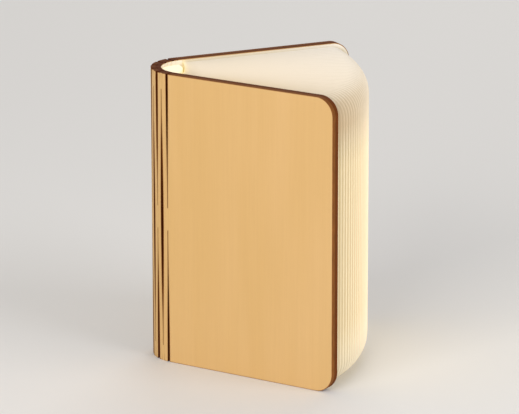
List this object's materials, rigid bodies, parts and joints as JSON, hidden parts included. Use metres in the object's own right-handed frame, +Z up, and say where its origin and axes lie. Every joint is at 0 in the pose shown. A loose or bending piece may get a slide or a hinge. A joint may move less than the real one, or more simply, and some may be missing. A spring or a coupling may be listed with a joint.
{
  "type": "folding book lamp",
  "caption": "Wooden book-shaped lamp: two plywood covers joined by a slit living-hinge spine open a fan of pleated pages lit from a light bar in the spine.",
  "frame": {"origin": "centre of the bottom end of the middle slat of the spine, on the surface that the lamp stands on", "axes": "+Z up along the spine; +X from the spine towards the page edges along the middle plane; +Y towards the back cover, so the front cover is on the -Y side"},
  "size_m": [0.089, 0.1052, 0.122],
  "materials": {
    "birch_ply": "pale maple face veneer, fine sanded, laser-scorched brown cut edges",
    "page_paper": "matt spun-bonded paper, lit warm from the spine",
    "lit_plastic": "milky translucent moulding, glowing warm",
    "board_white": "white solder resist",
    "led_phosphor": "yellow phosphor resin",
    "chip_black": "moulded epoxy",
    "socket_steel": "bright stamped shell",
    "magnet_nickel": "nickel plated",
    "cell_foil": "laminated foil pouch",
    "foam_grey": "closed-cell foam tape",
    "lead_red": "thin silicone insulation"
  },
  "bodies": {
    "root": {"middle_slat": "birch_ply", "middle_page": "page_paper", "bonding_tape": "foam_grey", "light_channel": "lit_plastic", "diffuser": "lit_plastic", "top_cap": "lit_plastic", "bottom_cap": "lit_plastic", "led_board": "board_white", "led_emitters": "led_phosphor", "board_chips": "chip_black", "hall_switch": "chip_black", "charging_socket": "socket_steel", "lithium_cell": "cell_foil", "cell_pad": "foam_grey", "cell_leads": "lead_red"},
    "front_slat_1": {"front_slat_1": "birch_ply", "front_page_2": "page_paper"},
    "front_slat_2": {"front_slat_2": "birch_ply", "front_page_4": "page_paper"},
    "front_slat_3": {"front_slat_3": "birch_ply", "front_page_6": "page_paper"},
    "front_slat_4": {"front_slat_4": "birch_ply", "front_page_8": "page_paper"},
    "front_slat_5": {"front_slat_5": "birch_ply", "front_page_10": "page_paper"},
    "front_cover": {"front_cover": "birch_ply", "front_endpaper": "page_paper", "front_cover_magnets": "magnet_nickel", "trigger_magnet": "magnet_nickel", "front_page_12": "page_paper"},
    "front_page_1": {"front_page_1": "page_paper"},
    "front_page_3": {"front_page_3": "page_paper"},
    "front_page_5": {"front_page_5": "page_paper"},
    "front_page_7": {"front_page_7": "page_paper"},
    "front_page_9": {"front_page_9": "page_paper"},
    "front_page_11": {"front_page_11": "page_paper"},
    "back_slat_1": {"back_slat_1": "birch_ply", "back_page_2": "page_paper"},
    "back_slat_2": {"back_slat_2": "birch_ply", "back_page_4": "page_paper"},
    "back_slat_3": {"back_slat_3": "birch_ply", "back_page_6": "page_paper"},
    "back_slat_4": {"back_slat_4": "birch_ply", "back_page_8": "page_paper"},
    "back_slat_5": {"back_slat_5": "birch_ply", "back_page_10": "page_paper"},
    "back_cover": {"back_cover": "birch_ply", "back_endpaper": "page_paper", "back_cover_magnets": "magnet_nickel", "back_page_12": "page_paper"},
    "back_page_1": {"back_page_1": "page_paper"},
    "back_page_3": {"back_page_3": "page_paper"},
    "back_page_5": {"back_page_5": "page_paper"},
    "back_page_7": {"back_page_7": "page_paper"},
    "back_page_9": {"back_page_9": "page_paper"},
    "back_page_11": {"back_page_11": "page_paper"}
  },
  "joints": [
    {"name": "front_cover_fold", "type": "hinge", "parent": "root", "child": "front_slat_1", "pos_m": [0, -0.00137, 0.061], "axis": [0, 0, -1], "range_deg": [-4.8, 26.1]},
    {"name": "front_slit_2", "type": "hinge", "parent": "front_slat_1", "child": "front_slat_2", "pos_m": [0.00049, -0.00408, 0.061], "axis": [0, 0, -1], "range_deg": [-4.8, 26.1]},
    {"name": "front_slit_3", "type": "hinge", "parent": "front_slat_2", "child": "front_slat_3", "pos_m": [0.00145, -0.00666, 0.061], "axis": [0, 0, -1], "range_deg": [-4.8, 26.1]},
    {"name": "front_slit_4", "type": "hinge", "parent": "front_slat_3", "child": "front_slat_4", "pos_m": [0.00285, -0.00903, 0.061], "axis": [0, 0, -1], "range_deg": [-4.8, 26.1]},
    {"name": "front_slit_5", "type": "hinge", "parent": "front_slat_4", "child": "front_slat_5", "pos_m": [0.00464, -0.01111, 0.061], "axis": [0, 0, -1], "range_deg": [-4.8, 26.1]},
    {"name": "front_slit_6", "type": "hinge", "parent": "front_slat_5", "child": "front_cover", "pos_m": [0.00678, -0.01284, 0.061], "axis": [0, 0, -1], "range_deg": [-4.8, 26.1]},
    {"name": "front_page_fold_1", "type": "hinge", "parent": "root", "child": "front_page_1", "pos_m": [0, -0.00137, 0.061], "axis": [0, 0, -1], "range_deg": [-2.42, 13.07]},
    {"name": "front_page_fold_3", "type": "hinge", "parent": "front_slat_1", "child": "front_page_3", "pos_m": [0.00049, -0.00408, 0.061], "axis": [0, 0, -1], "range_deg": [-2.42, 13.07]},
    {"name": "front_page_fold_5", "type": "hinge", "parent": "front_slat_2", "child": "front_page_5", "pos_m": [0.00145, -0.00666, 0.061], "axis": [0, 0, -1], "range_deg": [-2.42, 13.07]},
    {"name": "front_page_fold_7", "type": "hinge", "parent": "front_slat_3", "child": "front_page_7", "pos_m": [0.00285, -0.00903, 0.061], "axis": [0, 0, -1], "range_deg": [-2.42, 13.07]},
    {"name": "front_page_fold_9", "type": "hinge", "parent": "front_slat_4", "child": "front_page_9", "pos_m": [0.00464, -0.01111, 0.061], "axis": [0, 0, -1], "range_deg": [-2.42, 13.07]},
    {"name": "front_page_fold_11", "type": "hinge", "parent": "front_slat_5", "child": "front_page_11", "pos_m": [0.00678, -0.01284, 0.061], "axis": [0, 0, -1], "range_deg": [-2.42, 13.07]},
    {"name": "back_cover_fold", "type": "hinge", "parent": "root", "child": "back_slat_1", "pos_m": [0, 0.00137, 0.061], "axis": [0, 0, 1], "range_deg": [-4.8, 26.1]},
    {"name": "back_slit_2", "type": "hinge", "parent": "back_slat_1", "child": "back_slat_2", "pos_m": [0.00049, 0.00408, 0.061], "axis": [0, 0, 1], "range_deg": [-4.8, 26.1]},
    {"name": "back_slit_3", "type": "hinge", "parent": "back_slat_2", "child": "back_slat_3", "pos_m": [0.00145, 0.00666, 0.061], "axis": [0, 0, 1], "range_deg": [-4.8, 26.1]},
    {"name": "back_slit_4", "type": "hinge", "parent": "back_slat_3", "child": "back_slat_4", "pos_m": [0.00285, 0.00903, 0.061], "axis": [0, 0, 1], "range_deg": [-4.8, 26.1]},
    {"name": "back_slit_5", "type": "hinge", "parent": "back_slat_4", "child": "back_slat_5", "pos_m": [0.00464, 0.01111, 0.061], "axis": [0, 0, 1], "range_deg": [-4.8, 26.1]},
    {"name": "back_slit_6", "type": "hinge", "parent": "back_slat_5", "child": "back_cover", "pos_m": [0.00678, 0.01284, 0.061], "axis": [0, 0, 1], "range_deg": [-4.8, 26.1]},
    {"name": "back_page_fold_1", "type": "hinge", "parent": "root", "child": "back_page_1", "pos_m": [0, 0.00137, 0.061], "axis": [0, 0, 1], "range_deg": [-2.42, 13.07]},
    {"name": "back_page_fold_3", "type": "hinge", "parent": "back_slat_1", "child": "back_page_3", "pos_m": [0.00049, 0.00408, 0.061], "axis": [0, 0, 1], "range_deg": [-2.42, 13.07]},
    {"name": "back_page_fold_5", "type": "hinge", "parent": "back_slat_2", "child": "back_page_5", "pos_m": [0.00145, 0.00666, 0.061], "axis": [0, 0, 1], "range_deg": [-2.42, 13.07]},
    {"name": "back_page_fold_7", "type": "hinge", "parent": "back_slat_3", "child": "back_page_7", "pos_m": [0.00285, 0.00903, 0.061], "axis": [0, 0, 1], "range_deg": [-2.42, 13.07]},
    {"name": "back_page_fold_9", "type": "hinge", "parent": "back_slat_4", "child": "back_page_9", "pos_m": [0.00464, 0.01111, 0.061], "axis": [0, 0, 1], "range_deg": [-2.42, 13.07]},
    {"name": "back_page_fold_11", "type": "hinge", "parent": "back_slat_5", "child": "back_page_11", "pos_m": [0.00678, 0.01284, 0.061], "axis": [0, 0, 1], "range_deg": [-2.42, 13.07]}
  ],
  "couplings": [
    {"joint": "front_slit_2", "follows": "front_cover_fold", "ratio": 1},
    {"joint": "front_slit_3", "follows": "front_cover_fold", "ratio": 1},
    {"joint": "front_slit_4", "follows": "front_cover_fold", "ratio": 1},
    {"joint": "front_slit_5", "follows": "front_cover_fold", "ratio": 1},
    {"joint": "front_slit_6", "follows": "front_cover_fold", "ratio": 1},
    {"joint": "front_page_fold_1", "follows": "front_cover_fold", "ratio": 0.5},
    {"joint": "front_page_fold_3", "follows": "front_cover_fold", "ratio": 0.5},
    {"joint": "front_page_fold_5", "follows": "front_cover_fold", "ratio": 0.5},
    {"joint": "front_page_fold_7", "follows": "front_cover_fold", "ratio": 0.5},
    {"joint": "front_page_fold_9", "follows": "front_cover_fold", "ratio": 0.5},
    {"joint": "front_page_fold_11", "follows": "front_cover_fold", "ratio": 0.5},
    {"joint": "back_slit_2", "follows": "back_cover_fold", "ratio": 1},
    {"joint": "back_slit_3", "follows": "back_cover_fold", "ratio": 1},
    {"joint": "back_slit_4", "follows": "back_cover_fold", "ratio": 1},
    {"joint": "back_slit_5", "follows": "back_cover_fold", "ratio": 1},
    {"joint": "back_slit_6", "follows": "back_cover_fold", "ratio": 1},
    {"joint": "back_page_fold_1", "follows": "back_cover_fold", "ratio": 0.5},
    {"joint": "back_page_fold_3", "follows": "back_cover_fold", "ratio": 0.5},
    {"joint": "back_page_fold_5", "follows": "back_cover_fold", "ratio": 0.5},
    {"joint": "back_page_fold_7", "follows": "back_cover_fold", "ratio": 0.5},
    {"joint": "back_page_fold_9", "follows": "back_cover_fold", "ratio": 0.5},
    {"joint": "back_page_fold_11", "follows": "back_cover_fold", "ratio": 0.5}
  ]
}
